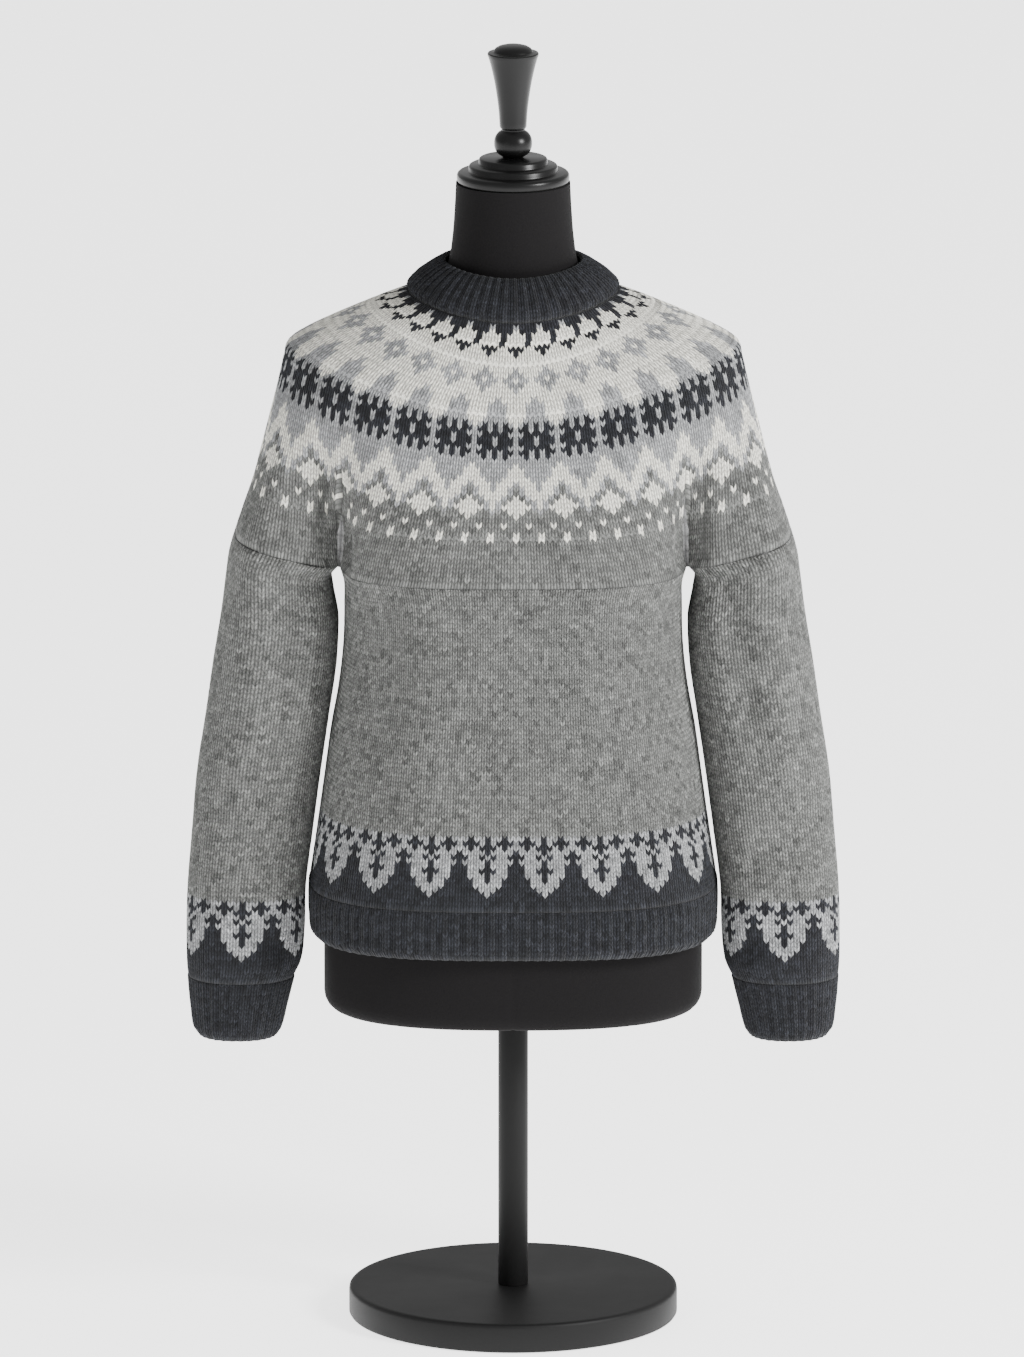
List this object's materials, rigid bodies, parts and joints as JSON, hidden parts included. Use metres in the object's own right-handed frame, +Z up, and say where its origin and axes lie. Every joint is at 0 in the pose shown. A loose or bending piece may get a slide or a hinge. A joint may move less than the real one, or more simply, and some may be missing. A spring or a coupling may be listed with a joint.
{
  "type": "nordic yoke sweater on a dress form",
  "caption": "Hand-knit style nordic round-yoke pullover with ribbed neckband, hem and cuffs, worn on a limbless black dress form with turned finial, pole and disc base.",
  "frame": {"origin": "centre of the underside of the base disc, on the floor", "axes": "+Z up along the pole, the front of the sweater faces -Y, the wearer's left arm is at +X"},
  "size_m": [0.5884, 0.297, 1.1714],
  "materials": {
    "wool_grey": "heather grey loosely spun wool in plain knitting, soft fuzzy surface",
    "wool_pattern": "stranded knitting in cream, light grey and charcoal wool",
    "wool_charcoal": "charcoal heather wool in ribbing",
    "jersey_black": "matte black cotton jersey stretched over a padded form",
    "lacquer_black": "turned wood with satin black lacquer",
    "metal_black": "satin to matte black powder coat"
  },
  "bodies": {
    "root": {"neckband": "wool_charcoal", "yoke": "wool_pattern", "body": "wool_grey", "hem_rib": "wool_charcoal", "sleeve_left": "wool_grey", "sleeve_right": "wool_grey", "cuff_left": "wool_charcoal", "cuff_right": "wool_charcoal", "form_torso": "jersey_black", "neck_cap": "lacquer_black", "finial": "lacquer_black", "pole": "metal_black", "base": "metal_black"}
  },
  "joints": []
}
